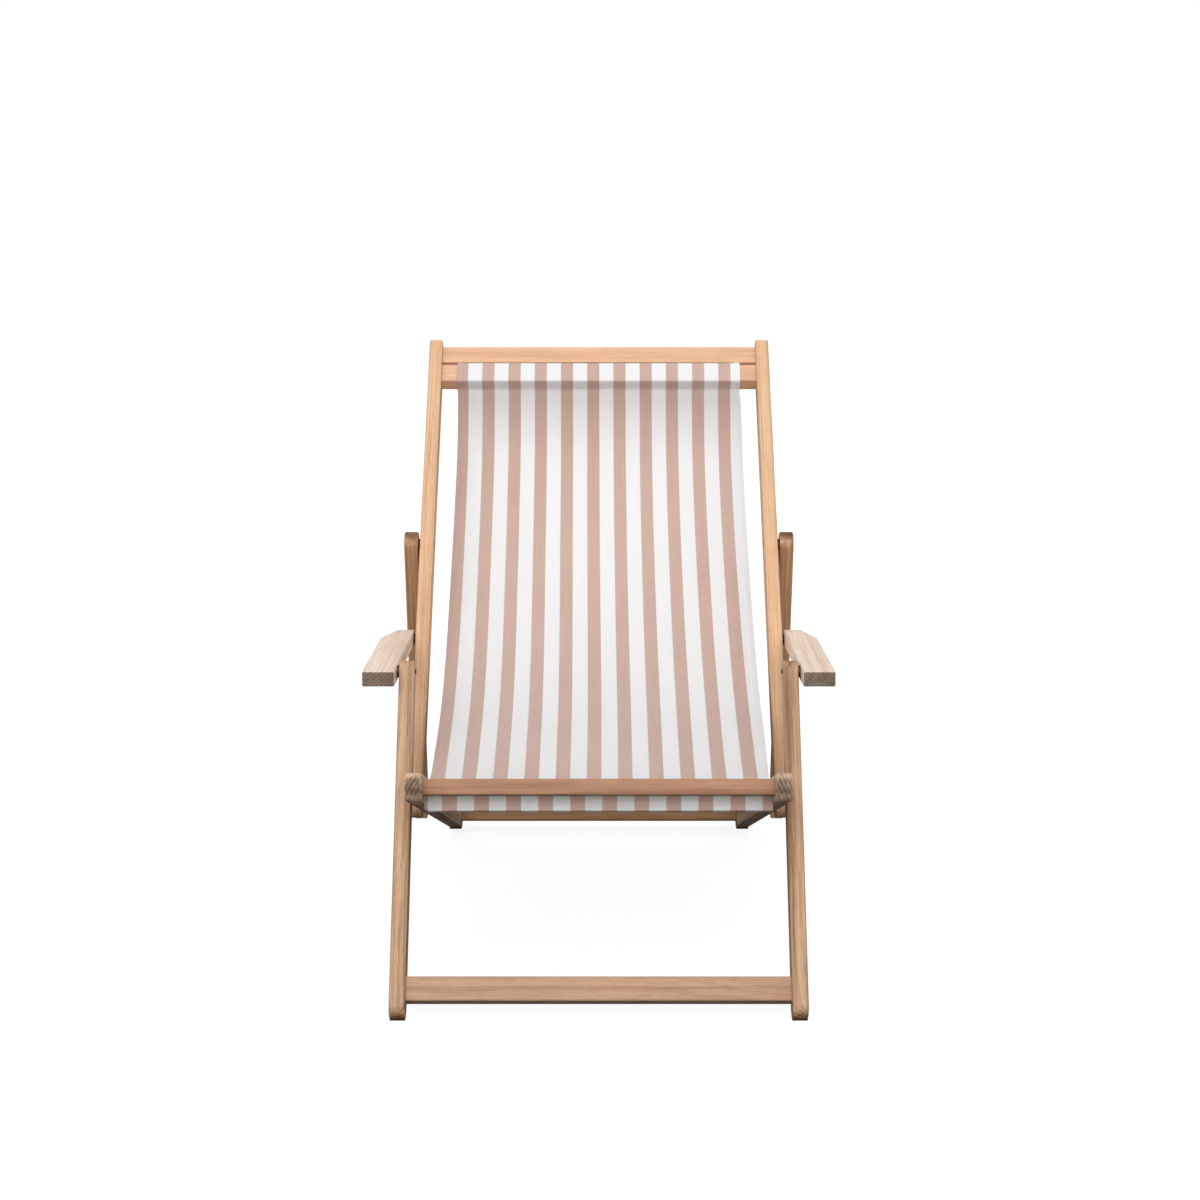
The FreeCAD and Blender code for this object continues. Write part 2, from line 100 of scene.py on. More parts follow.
# ---- node trees ---------------------------------------------------------------------------
class Net:
    """A shader node tree; most calls return an output socket."""

    def __init__(self, tree):
        self.tree = tree

    def node(self, kind, inputs=None, **settings):
        prefix = "Node" if kind in ("GroupInput", "GroupOutput") else "ShaderNode"
        made = self.tree.nodes.new(prefix + kind)
        for name, value in settings.items():
            setattr(made, name, value)
        for key, value in (inputs or {}).items():
            if isinstance(value, bpy.types.NodeSocket):
                self.tree.links.new(value, made.inputs[key])
            else:
                made.inputs[key].default_value = value
        return made

    def math(self, operation, *values):
        return self.node("Math", dict(enumerate(values)), operation=operation).outputs[0]

    def vector(self, operation, *values, out=0):
        made = self.node("VectorMath", dict(enumerate(values)), operation=operation)
        return made.outputs[out]

    def ramp(self, value, low, high, to_low=0.0, to_high=1.0):
        """Value mapped from low..high to to_low..to_high, smoothed and clamped."""
        made = self.node("MapRange", {0: value, 1: low, 2: high, 3: to_low, 4: to_high},
                         interpolation_type="SMOOTHSTEP")
        return made.outputs[0]

    def mix(self, share, first, second, blend="MIX"):
        made = self.node("Mix", {0: share, 6: first, 7: second}, data_type="RGBA",
                         blend_type=blend)
        return made.outputs[2]

    def noise(self, place, scale, detail=3.0, rough=0.55):
        inputs = {"Vector": place, "Scale": scale, "Detail": detail, "Roughness": rough}
        return self.node("TexNoise", inputs).outputs[0]


def new_material(name):
    material = bpy.data.materials.new(name)
    material.use_nodes = True
    material.node_tree.nodes.clear()
    return material, Net(material.node_tree)


def surface(net, color, roughness, height=None, relief=0.0, through=0.0, **more):
    """Principled surface with a bump of the given relief in metres, wired to the output.

    through: share of the light that passes through, as it does through thin cloth.
    """
    inputs = {"Base Color": color, "Roughness": roughness}
    inputs.update({name.replace("_", " "): value for name, value in more.items()})
    if height is not None:
        bump = net.node("Bump", {"Height": height, "Distance": relief, "Strength": 1.0})
        inputs["Normal"] = bump.outputs[0]
    shader = net.node("BsdfPrincipled", inputs)
    if through:
        glow = net.node("BsdfTranslucent", {"Color": color})
        shader = net.node("MixShader", {0: through, 1: shader.outputs[0], 2: glow.outputs[0]})
    net.node("OutputMaterial", {0: shader.outputs[0]})


def srgb(red, green, blue):
    """Linear colour with alpha from 0-255 screen values."""
    def linear(c):
        c /= 255
        return c / 12.92 if c <= 0.04045 else ((c + 0.055) / 1.055) ** 2.4
    return (linear(red), linear(green), linear(blue), 1.0)


# ---- wood ---------------------------------------------------------------------------------
RING_PITCH = 0.0042          # metres from one growth ring to the next
FLECK_COLOR = (0.045, 0.022, 0.012, 1.0)
WOOD_RELIEF = 0.00012


def grain_group():
    """Node group: oiled hardwood with growth rings, fibres and pores along one direction; its end faces are
    darkened, partly as darker end grain and partly as painted shade.
    """
    tree = bpy.data.node_groups.new("hardwood_grain", "ShaderNodeTree")
    for name in ("Along", "Side", "Up", "Shift"):
        tree.interface.new_socket(name, in_out="INPUT", socket_type="NodeSocketVector")
    for name in ("Light", "Dark", "End"):
        tree.interface.new_socket(name, in_out="INPUT", socket_type="NodeSocketColor")
    tree.interface.new_socket("Color", in_out="OUTPUT", socket_type="NodeSocketColor")
    tree.interface.new_socket("Roughness", in_out="OUTPUT", socket_type="NodeSocketFloat")
    tree.interface.new_socket("Height", in_out="OUTPUT", socket_type="NodeSocketFloat")
    net = Net(tree)
    given = net.node("GroupInput").outputs
    place = net.node("TexCoord").outputs["Object"]
    along, side, up = (net.vector("DOT_PRODUCT", place, given[name], out=1)
                       for name in ("Along", "Side", "Up"))

    def stretched(along_scale, cross_scale):
        spread = net.node("CombineXYZ", {0: net.math("MULTIPLY", along, along_scale),
                                         1: net.math("MULTIPLY", side, cross_scale),
                                         2: net.math("MULTIPLY", up, cross_scale)})
        return net.vector("ADD", spread.outputs[0], given["Shift"])

    sway = net.noise(stretched(3.0, 9.0), 1.0, 2.0)
    shift_x, shift_y, _ = net.node("SeparateXYZ", {0: given["Shift"]}).outputs
    ring_x = net.math("ADD", side, net.math("MULTIPLY", net.math("SUBTRACT", shift_x, 4.0), 0.02))
    ring_y = net.math("ADD", up, net.math("MULTIPLY_ADD", shift_y, 0.01, 0.03))
    radius = net.math("SQRT", net.math("ADD", net.math("MULTIPLY", ring_x, ring_x),
                                       net.math("MULTIPLY", ring_y, ring_y)))
    wander = net.math("MULTIPLY_ADD", sway, 0.022, radius)
    ring = net.math("SINE", net.math("MULTIPLY", wander, 2 * math.pi / RING_PITCH))
    ring = net.ramp(ring, -0.2, 1.0)
    fibre = net.noise(stretched(9.0, 520.0), 1.0, 4.0, 0.65)
    streak = net.noise(stretched(1.6, 110.0), 1.0, 4.0, 0.65)
    band = net.noise(stretched(1.1, 38.0), 1.0, 3.0, 0.55)
    cloud = net.noise(stretched(5.0, 16.0), 1.0, 2.0)
    pore = net.ramp(net.noise(stretched(60.0, 1500.0), 1.0, 2.0), 0.57, 0.68)
    fleck = net.ramp(net.noise(stretched(26.0, 620.0), 1.0, 3.0, 0.7), 0.60, 0.72)

    end = net.vector("DOT_PRODUCT", net.node("TexCoord").outputs["Normal"], given["Along"], out=1)
    end = net.ramp(net.math("ABSOLUTE", end), 0.62, 0.97)
    dark = net.math("MULTIPLY", ring, net.math("MULTIPLY_ADD", end, 0.35, 0.16))
    for pattern, share in ((net.ramp(fibre, 0.34, 0.70), 0.26),
                           (net.ramp(streak, 0.44, 0.66), 0.44),
                           (net.ramp(band, 0.42, 0.66), 0.30),
                           (net.ramp(cloud, 0.38, 0.72), 0.20),
                           (pore, 0.22)):
        dark = net.math("ADD", dark, net.math("MULTIPLY", pattern, share))
    color = net.mix(net.math("MINIMUM", dark, 1.0), given["Light"], given["Dark"])
    blush = net.ramp(net.noise(stretched(2.4, 24.0), 3.0, 2.0), 0.46, 0.66, 0.0, 0.6)
    color = net.mix(blush, color, net.mix(1.0, color, (1.05, 0.90, 0.84, 1.0), "MULTIPLY"))
    color = net.mix(net.math("MULTIPLY", fleck, 0.45), color, FLECK_COLOR)
    # painted shade: end faces are multiplied by the end colour, which also holds their darker end grain
    end_grain_and_shade_color = net.mix(1.0, color, given["End"], "MULTIPLY")
    color = net.mix(end, color, end_grain_and_shade_color)
    worn = net.ramp(net.node("NewGeometry").outputs["Pointiness"], 0.53, 0.62, 0.0, 0.35)
    color = net.mix(worn, color, given["Light"])
    rough = net.math("MULTIPLY_ADD", dark, 0.18, 0.42)
    height = net.math("SUBTRACT", net.math("MULTIPLY", fibre, 0.6), pore)
    net.node("GroupOutput", {"Color": color, "Roughness": rough, "Height": height})
    return tree


hardwood = grain_group()


def wood(node, line, light, dark, end_grain_and_shade, seed):
    """Gives a wooden node its own board of the hardwood, with the grain running along line."""
    material, net = new_material("wood_" + node)
    side = across if abs(line.x) < 0.5 else Vector((0, 1, 0))
    grain = net.node("Group", {}, node_tree=hardwood)
    values = {"Along": line, "Side": side, "Up": line.cross(side),
              "Shift": Vector((3 + 1.7 * math.sin(2.1 * seed), 4 + 1.9 * math.cos(3.7 * seed), seed)),
              "Light": light, "Dark": dark,
              "End": (end_grain_and_shade, end_grain_and_shade * 0.97, end_grain_and_shade * 0.92, 1.0)}
    for name, value in values.items():
        grain.inputs[name].default_value = value
    surface(net, grain.outputs["Color"], grain.outputs["Roughness"], grain.outputs["Height"],
            WOOD_RELIEF, Specular_IOR_Level=0.35)
    dress(node, material)


def dress(node, material):
    mesh = frame["nodes"][node].data
    mesh.materials.clear()
    mesh.materials.append(material)


# kinds of wood: light and dark colour
HONEY = (srgb(222, 184, 146), srgb(164, 119, 84))
AMBER = (srgb(226, 184, 149), srgb(170, 126, 95))
TAN = (srgb(204, 168, 132), srgb(130, 95, 68))
RUST = (srgb(188, 150, 120), srgb(130, 94, 70))
GREY_TAN = (srgb(214, 186, 156), srgb(132, 104, 82))
RED_BROWN = (srgb(182, 136, 104), srgb(120, 82, 60))
BROWN = (srgb(204, 158, 118), srgb(136, 96, 66))
PALE = (srgb(248, 230, 212), srgb(188, 156, 132))

# how bright the end faces are next to the side of the board, partly as darker end grain and partly as
# painted shade; the armrests' front ends get the deepest painted shade
END_GRAIN_AND_SHADE, ARM_END_GRAIN_AND_SHADE, LEG_END_GRAIN_AND_SHADE, BACK_END_GRAIN_AND_SHADE = 0.42, 0.24, 0.7, 0.8

# node: direction of the grain, kind of wood, tone of the end faces (darker end grain and painted shade)
boards = {
    "left_seat_rail": (seat_line, GREY_TAN, END_GRAIN_AND_SHADE),
    "right_seat_rail": (seat_line, GREY_TAN, END_GRAIN_AND_SHADE),
    "front_seat_rail": (across, RED_BROWN, END_GRAIN_AND_SHADE),
    "front_sling_bar": (across, GREY_TAN, END_GRAIN_AND_SHADE),
    "rear_seat_rail": (across, BROWN, END_GRAIN_AND_SHADE),
    "left_back_rail": (back_line, HONEY, BACK_END_GRAIN_AND_SHADE),
    "right_back_rail": (back_line, HONEY, BACK_END_GRAIN_AND_SHADE),
    "top_back_rail": (across, AMBER, END_GRAIN_AND_SHADE),
    "top_sling_bar": (across, AMBER, END_GRAIN_AND_SHADE),
    "left_front_leg": (leg_line, TAN, LEG_END_GRAIN_AND_SHADE),
    "right_front_leg": (leg_line, TAN, LEG_END_GRAIN_AND_SHADE),
    "leg_crossbar": (across, RUST, END_GRAIN_AND_SHADE),
    "left_prop": (prop_line, BROWN, END_GRAIN_AND_SHADE),
    "right_prop": (prop_line, BROWN, END_GRAIN_AND_SHADE),
    "prop_crossbar": (across, BROWN, END_GRAIN_AND_SHADE),
    "left_armrest": (arm_line, PALE, ARM_END_GRAIN_AND_SHADE),
    "right_armrest": (arm_line, PALE, ARM_END_GRAIN_AND_SHADE),
}
for seed, (name, (line, (light, dark), end_grain_and_shade)) in enumerate(boards.items(), start=1):
    wood(name, line, light, dark, end_grain_and_shade, seed)


# ---- hardware and glides ------------------------------------------------------------------
def steel_material():
    material, net = new_material("blackened_steel")
    place = net.node("TexCoord").outputs["Object"]
    blotch = net.noise(place, 700.0, 4.0, 0.6)
    color = net.mix(net.ramp(blotch, 0.4, 0.7), srgb(62, 56, 52), srgb(96, 84, 74))
    surface(net, color, net.ramp(blotch, 0.3, 0.7, 0.35, 0.6), blotch, 0.00008, Metallic=0.85)
    return material


def rubber_material():
    material, net = new_material("glide_rubber")
    place = net.node("TexCoord").outputs["Object"]
    speck = net.noise(place, 1400.0, 3.0, 0.6)
    color = net.mix(net.ramp(speck, 0.4, 0.75), srgb(30, 29, 29), srgb(58, 56, 55))
    surface(net, color, 0.85, speck, 0.0001)
    return material


steel = steel_material()
for name in ("seat_pivot_bolts", "seat_pivot_nuts", "seat_pivot_washers", "prop_pivot_bolts",
             "prop_pivot_nuts", "back_rail_spacers", "leg_top_spacers", "arm_front_pins",
             "arm_rear_pins"):
    dress(name, steel)
rubber = rubber_material()
for name in ("front_foot_glides", "rear_foot_glides"):
    dress(name, rubber)


# ---- canvas -------------------------------------------------------------------------------
CLAY_SHARE = 0.468           # part of each stripe pair that is clay
STRIPES_BEFORE = 10          # added to the count of stripe pairs, so that it stays above zero
THREAD = 0.9 * MM            # spacing of the woven threads
STRIPE_BLUR = 0.006          # soft part of a stripe's edge, as a share of the pair
LIGHT_THROUGH = 0.3          # share of the light that the canvas lets through


def canvas_material(name):
    """Plain-weave canvas; the UV map holds metres of cloth, the other map counts stripe pairs."""
    material, net = new_material(name)
    uv = net.node("UVMap", uv_map="cloth").outputs[0]
    u, v, _ = net.node("SeparateXYZ", {0: uv}).outputs
    place = net.node("TexCoord").outputs["Object"]
    stripes = net.node("UVMap", uv_map="stripes").outputs[0]
    count = net.node("SeparateXYZ", {0: stripes}).outputs[0]
    fuzz = net.math("MULTIPLY_ADD", net.noise(uv, 900.0, 2.0), 0.012, -0.006)
    phase = net.math("FRACT", net.math("ADD", count, fuzz))
    clay = net.math("MULTIPLY", net.ramp(phase, 0.0, STRIPE_BLUR),
                    net.ramp(phase, CLAY_SHARE - STRIPE_BLUR, CLAY_SHARE, 1.0, 0.0))
    warp = net.math("SINE", net.math("MULTIPLY", u, 2 * math.pi / THREAD))
    weft = net.math("SINE", net.math("MULTIPLY", v, 2 * math.pi / THREAD))
    weave = net.math("MULTIPLY", warp, weft)
    slub_v = net.noise(net.vector("MULTIPLY", uv, (1500.0, 9.0, 1.0)), 1.0, 3.0, 0.6)
    slub_u = net.noise(net.vector("MULTIPLY", uv, (9.0, 1500.0, 1.0)), 1.0, 3.0, 0.6)
    slub = net.math("ADD", net.math("MULTIPLY", slub_v, 0.6), net.math("MULTIPLY", slub_u, 0.4))
    cloud = net.noise(place, 6.0, 2.0)
    clay_color = net.mix(net.ramp(slub, 0.36, 0.64), srgb(212, 180, 168), srgb(222, 194, 182))
    clay_color = net.mix(net.ramp(cloud, 0.3, 0.7, 0.0, 0.35), clay_color, srgb(226, 202, 190))
    white = net.mix(net.ramp(slub, 0.36, 0.64), srgb(247, 247, 248), srgb(252, 252, 252))
    color = net.mix(clay, white, clay_color)
    color = net.mix(net.ramp(weave, -1.0, 1.0, 0.0, 0.03), color, srgb(160, 136, 126))
    height = net.math("ADD", net.math("MULTIPLY", weave, 0.5), slub)
    surface(net, color, 0.9, height, 0.00012, through=LIGHT_THROUGH, Specular_IOR_Level=0.2,
            Sheen_Weight=0.15, Sheen_Roughness=0.5)
    return material


def thread_material():
    material, net = new_material("sewing_thread")
    place = net.node("TexCoord").outputs["Object"]
    twist = net.noise(place, 2500.0, 2.0)
    color = net.mix(net.ramp(twist, 0.35, 0.65), srgb(226, 208, 198), srgb(244, 234, 228))
    surface(net, color, 0.7, twist, 0.0001)
    return material


def side_view(vector):
    return np.array([vector.y, vector.z])


def run_along(points):
    """Distance run along a side-view line at each of its points."""
    return np.concatenate([[0.0], np.cumsum(np.hypot(*np.diff(points, axis=0).T))])


def resample(points, step):
    points = np.array(points)
    run = run_along(points)
    at = np.linspace(0, run[-1], max(2, round(run[-1] / step) + 1))
    return np.column_stack([np.interp(at, run, points[:, k]) for k in (0, 1)])


def rounded(corners, radius, step=0.8 * MM):
    """Side-view line through the corners, each inner one rounded with an arc-like curve."""
    corners = [np.array(c, float) for c in corners]
    path = [corners[0]]
    for before, corner, after in zip(corners, corners[1:], corners[2:]):
        back, ahead = before - corner, after - corner
        start = corner + back * min(0.5, radius / np.linalg.norm(back))
        end = corner + ahead * min(0.5, radius / np.linalg.norm(ahead))
        for t in np.linspace(0, 1, 7):
            path.append((1 - t) ** 2 * start + 2 * t * (1 - t) * corner + t ** 2 * end)
    path.append(corners[-1])
    return resample(path, step)


def left_normals(points):
    """Unit normals on the left of the line's direction."""
    step = np.gradient(points, axis=0)
    step /= np.hypot(*step.T)[:, None]
    return np.column_stack([-step[:, 1], step[:, 0]])


BEND_CENTRE = pivot["back_fold"] + Vector((0, 0.104, 0.622))    # inside the curve of the sling


def cad_sheet_line():
    """Upper face of the CAD sheet seen from the side, from the top bar to the front bar."""
    sheet = frame["nodes"]["sling"].data
    found = {}
    for face in sheet.polygons:
        inward = BEND_CENTRE - face.center
        inward.x = 0
        if face.normal.dot(inward.normalized()) > 0.8:
            for index in face.vertices:
                place = sheet.vertices[index].co
                angle = math.atan2(place.z - BEND_CENTRE.z, place.y - BEND_CENTRE.y)
                found[round(angle, 6)] = side_view(place)
    return np.array([found[angle] for angle in sorted(found, reverse=True)])


CLOTH = 1.2 * MM             # thickness of the canvas
GAP = 0.6 * MM               # space between a bar and its sleeve
HEM = 9.0 * MM               # width of the doubled side hem
SHEET_START = 6 * MM         # run of the CAD sheet left to the loop round the top bar
SHEET_END = 25 * MM          # run of the CAD sheet left to the turn over the front bar
HEM_LAP = 16 * MM            # how far the top hem laps down behind the sheet
ROW_STEP = 3.5 * MM          # run between rows of points of the sheet


class Bar:
    """Cross-section of a bar seen from the side; run goes along the member, lift to its upper side."""

    def __init__(self, node, line):
        self.centre = side_view(middle(node))
        self.run = side_view(line)
        self.lift = np.array([-self.run[1], self.run[0]])
        spots = [side_view(v.co) for v in frame["nodes"][node].data.vertices]
        spots = np.array(spots) - self.centre
        self.half_run = np.abs(spots @ self.run).max()
        self.half_lift = np.abs(spots @ self.lift).max()

    def at(self, run, lift, out=0.0):
        """Point at run and lift in half sizes of the bar, moved out from its faces."""
        a = run * self.half_run + np.sign(run) * out
        b = lift * self.half_lift + np.sign(lift) * out
        return self.centre + self.run * a + self.lift * b


top_bar = Bar("top_sling_bar", back_line)
front_bar = Bar("front_sling_bar", seat_line)


def sheet_point(sheet, distance):
    """Point of the sheet at a distance from its top end, or from its front end if negative."""
    run = run_along(sheet)
    at = distance if distance >= 0 else run[-1] + distance
    return np.array([np.interp(at, run, sheet[:, k]) for k in (0, 1)])


def smooth(points, rounds):
    """Line with its inner points drawn towards their neighbours, rounds times."""
    points = points.copy()
    for _ in range(rounds):
        points[1:-1] = (points[:-2] + 2 * points[1:-1] + points[2:]) / 4
    return points


def sling_line():
    """Side view of the sling: hem behind the top bar, loop round it, sheet, turn over the front bar."""
    sheet = cad_sheet_line()
    out = GAP + CLOTH / 2
    behind = np.array([CLOTH * 1.05, 0])
    loop = rounded([sheet_point(sheet, HEM_LAP) + behind, sheet_point(sheet, 2 * MM) + behind,
                    top_bar.at(-1, -1, out), top_bar.at(1, -1, out), top_bar.at(1, 1, out),
                    top_bar.at(-1, 1, out), top_bar.at(-1, -0.55, out),
                    sheet_point(sheet, SHEET_START)], 2.6 * MM)
    over = out + CLOTH
    end = rounded([sheet_point(sheet, -SHEET_END), front_bar.at(1, 0.80, over + 0.4 * MM),
                   front_bar.at(1, 1, over), front_bar.at(-0.6, 1, over)], 5 * MM)
    run = run_along(sheet)
    inner = sheet[(run > SHEET_START + MM) & (run < run[-1] - SHEET_END - MM)]
    return loop, smooth(resample(inner, ROW_STEP), 4), end


def ripple(x, v, seed, *waves):
    """Sum of sine waves, each (height, waves per metre in x, waves per metre in v)."""
    total = 0.0
    for k, (height, fx, fv) in enumerate(waves):
        turn = 2 * math.pi * (fx * x + fv * v) + 1.7 * k + seed
        total = total + height * np.sin(turn) * np.cos(0.37 * turn + 2.3 * k)
    return total


def closed_sheet(above, below):
    """Points and faces of a sheet between two grids of points."""
    rows, count = above.shape[:2]
    points = np.vstack([above.reshape(-1, 3), below.reshape(-1, 3)])
    second = rows * count
    top = np.arange(second).reshape(rows, count)

    def quads(*corners):
        return np.stack(corners, axis=-1).reshape(-1, 4)

    under = top + second
    faces = [quads(top[:-1, :-1], top[1:, :-1], top[1:, 1:], top[:-1, 1:]),
             quads(under[:-1, :-1], under[:-1, 1:], under[1:, 1:], under[1:, :-1]),
             quads(top[0, :-1], top[0, 1:], under[0, 1:], under[0, :-1]),
             quads(top[-1, 1:], top[-1, :-1], under[-1, :-1], under[-1, 1:]),
             quads(top[1:, 0], top[:-1, 0], under[:-1, 0], under[1:, 0]),
             quads(top[:-1, -1], top[1:, -1], under[1:, -1], under[:-1, -1])]
    return points, np.vstack(faces)


STITCH, STITCH_GAP = 3.2 * MM, 1.1 * MM
STITCH_HALF_WIDE, STITCH_HIGH = 0.42 * MM, 0.4 * MM
STITCH_TAPER = 0.22          # part of a stitch's length over which each end tapers


def stitches(seam, normals):
    """Points and faces of a row of thread stitches lying on a seam line."""
    run = np.concatenate([[0], np.cumsum(np.linalg.norm(np.diff(seam, axis=0), axis=1))])
    starts = np.arange(STITCH_GAP, run[-1] - STITCH, STITCH + STITCH_GAP)

    def on_seam(at, values):
        return np.column_stack([np.interp(at, run, values[:, k]) for k in range(3)])

    a, b = on_seam(starts, seam), on_seam(starts + STITCH, seam)
    up = on_seam(starts + STITCH / 2, normals)
    side = np.cross(b - a, up)
    side *= STITCH_HALF_WIDE / np.linalg.norm(side, axis=1)[:, None]
    raised = up * STITCH_HIGH
    near, far = a + (b - a) * STITCH_TAPER, a + (b - a) * (1 - STITCH_TAPER)
    corners = [a, near - side, near + raised, near + side, far - side, far + raised, far + side, b]
    points = np.stack(corners, axis=1).reshape(-1, 3)
    one = [(0, 2, 1), (0, 3, 2), (1, 2, 5, 4), (2, 3, 6, 5), (4, 5, 7), (5, 6, 7),
           (0, 1, 3), (1, 4, 6, 3), (4, 7, 6)]
    faces = [tuple(8 * k + corner for corner in face) for k in range(len(starts)) for face in one]
    return points, faces


HEM_STEP = 0.35 * MM                         # how sharply the hem's inner edge steps
HEM_ABOVE, HEM_BELOW = 0.15 * MM, 0.75 * MM  # how far the doubled hem stands out of each face
CREASE_ANGLE = 50                            # degrees from which an edge is shaded sharp


def cloth_mesh(name, line, place_x, offset, stripe_count, seams, hem_stitch=None):
    """Closed sheet of canvas along a side-view line, with its sewing thread.

    place_x(v): x of every column; offset(x, v, edge): lift of the cloth's middle along its
    normal; stripe_count(x, v): stripe pairs counted across; seams: v of rows of stitches across;
    hem_stitch: distance of the stitches along the side edges. Returns the object and v by vertex.
    """
    run = run_along(line)
    x = place_x(run)
    v = np.repeat(run[:, None], x.shape[1], axis=1)
    edge = np.minimum(x - x[:, :1], x[:, -1:] - x)
    lift = offset(x, v, edge)
    doubled = 1 / (1 + np.exp((edge - HEM) / HEM_STEP))
    normal = left_normals(line)

    def raised(height):
        return np.stack([x, line[:, :1] + normal[:, :1] * height,
                         line[:, 1:] + normal[:, 1:] * height], axis=-1)

    above = raised(lift + CLOTH / 2 + HEM_ABOVE * doubled)
    below = raised(lift - CLOTH / 2 - HEM_BELOW * doubled)
    points, faces = closed_sheet(above, below)
    faces = [tuple(face) for face in faces.tolist()]
    vertex_v = [np.tile(v.ravel(), 2)]
    cloth_faces, cloth_points = len(faces), len(points)
    up = np.column_stack([np.zeros(len(line)), normal])
    rows_of_thread = [(above[r, 4:-4], np.tile(up[r], (x.shape[1] - 8, 1)))
                      for r in (int(np.argmin(np.abs(run - seam))) for seam in seams)]
    if hem_stitch:
        column = int(np.argmin(np.abs(edge[0, :20] - hem_stitch)))
        rows_of_thread += [(above[:, column], up), (above[:, -1 - column], up)]
    for seam, normals in rows_of_thread:
        more, more_faces = stitches(seam, normals)
        nearest = [int(np.argmin(np.sum((line - p[1:]) ** 2, axis=1))) for p in more]
        faces += [tuple(len(points) + corner for corner in face) for face in more_faces]
        points = np.vstack([points, more])
        vertex_v.append(run[nearest])
    mesh = bpy.data.meshes.new(name)
    mesh.from_pydata(points.tolist(), [], faces)
    corners = np.zeros(len(mesh.loops), int)
    mesh.loops.foreach_get("vertex_index", corners)
    cloth_u = np.zeros(len(points))
    cloth_u[:cloth_points] = np.tile((x - x[:, :1]).ravel(), 2)
    pairs = np.zeros(len(points))
    pairs[:cloth_points] = np.tile(stripe_count(x, v).ravel(), 2)
    vertex_v = np.concatenate(vertex_v)
    for layer_name, first in (("cloth", cloth_u), ("stripes", pairs)):
        layer = mesh.uv_layers.new(name=layer_name)
        layer.data.foreach_set("uv", np.column_stack([first, vertex_v])[corners].ravel())
    mesh.shade_smooth()
    mesh.set_sharp_from_angle(angle=math.radians(CREASE_ANGLE))
    mesh.materials.append(canvas)
    mesh.materials.append(thread)
    slots = np.zeros(len(faces), int)
    slots[cloth_faces:] = 1
    mesh.polygons.foreach_set("material_index", slots)
    return add_object(name, mesh), vertex_v


def columns_between(low, high):
    """Columns of cloth across the chair, closer together at the hems."""
    edge = np.array([0, 0.4, 1.2, 2.5, 4.5, 6.5, 7.8, 8.6, 9.2, 9.9, 11, 13, 16]) * MM
    inner = np.linspace(low + edge[-1], high - edge[-1], 61)
    return np.concatenate([low + edge[:-1], inner, (high - edge[:-1])[::-1]])


canvas, thread = canvas_material("striped_canvas"), thread_material()
low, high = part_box("sling")
columns = columns_between(low.x, high.x)
loop, sheet, end = sling_line()
line = np.vstack([loop, sheet, end])
apart = np.hypot(*np.diff(line, axis=0).T) > 0.05 * MM
line = line[np.concatenate([[True], apart])]
LOOP_LONG = run_along(loop)[-1]
ZERO = LOOP_LONG - SHEET_START     # where the CAD sheet starts, in run along the cloth
TOP_SEAMS = (LOOP_LONG + 1.5 * MM, LOOP_LONG + 6 * MM)
HEM_STITCH = 6.5 * MM              # distance of the hem's stitches from the side edge

SPREAD_LONG = 985 * MM             # run over which the cloth spreads between its two bars
FADE = 80 * MM                     # run over which its unevenness fades in from either end
TURN = 60 * MM                     # run of the even end at the front bar


def across_at(v):
    """Left edge, right edge, stripe pair and start of the middle clay stripe at run v.

    The cloth is narrowest at its two bars and spreads a few millimetres between them, a little
    more to the right, and its stripes spread and drift with it.
    """
    share = np.clip((v - ZERO) / SPREAD_LONG, 0, 1)
    left = -214.2 * MM - 5.2 * MM * np.sin(np.pi * share ** 0.62) ** 2
    right = 213.4 * MM + 10.4 * MM * np.sin(np.pi * share ** 0.85) ** 0.6
    pair = 39.7 * MM + 1.0 * MM * np.sin(np.pi * share ** 0.8)
    drift = np.clip((share - 0.11) / 0.62, 0, 1)
    clay = -17.9 * MM + 2.7 * MM * drift ** 2 * (3 - 2 * drift)
    return left, right, pair, clay


def sling_x(v):
    left, right, _, _ = across_at(v)
    share = (columns - columns[0]) / (columns[-1] - columns[0])
    return left[:, None] + (right - left)[:, None] * share


def sling_offset(x, v, edge):
    """Small unevenness of the hanging cloth, with puckers at the top seam."""
    total = run_along(line)[-1]
    free = np.clip((v - LOOP_LONG) / FADE, 0, 1) * np.clip((total - TURN - v) / FADE, 0, 1)
    pucker = np.exp(-((v - LOOP_LONG - 4 * MM) / (9 * MM)) ** 2)
    return (free * ripple(x, v, 1.0, (0.9 * MM, 2.1, 1.3), (0.6 * MM, 4.7, -2.2), (0.3 * MM, 9.0, 5.0))
            + pucker * ripple(x, v, 2.0, (0.25 * MM, 38.0, 9.0), (0.15 * MM, 71.0, -20.0)))


def sling_stripes(x, v):
    _, _, pair, clay = across_at(v)
    return (x - clay) / pair + STRIPES_BEFORE


LOOSE, STILL = 70, 152       # degrees round the hinge between which the turn fades out


def fold_share(v):
    """Share of the back's fold that each run along the cloth turns by.

    The rear part swings down onto the line between the folded bars, and the last part before
    the front bar stays; the slack left between them stands over the hinge.
    """
    hinge = side_view(pivot["back_fold"])
    travel = next(j for j in frame["joints"] if j["name"] == "back_fold")["range_deg"][1]
    spot = line - hinge
    angle = np.degrees(np.arctan2(spot[:, 1], spot[:, 0]))
    flat = np.interp(ZERO, run_along(line), angle) - travel
    rear = np.clip((angle - flat) / travel, 0, 1)
    front = np.clip((STILL - angle) / (STILL - LOOSE), 0, 1)
    share = np.minimum(rear, front ** 2 * (3 - 2 * front))
    held = np.clip((run_along(line) - LOOP_LONG - 12 * MM) / (50 * MM), 0, 1)
    return np.interp(v, run_along(line), 1 + (share - 1) * held)


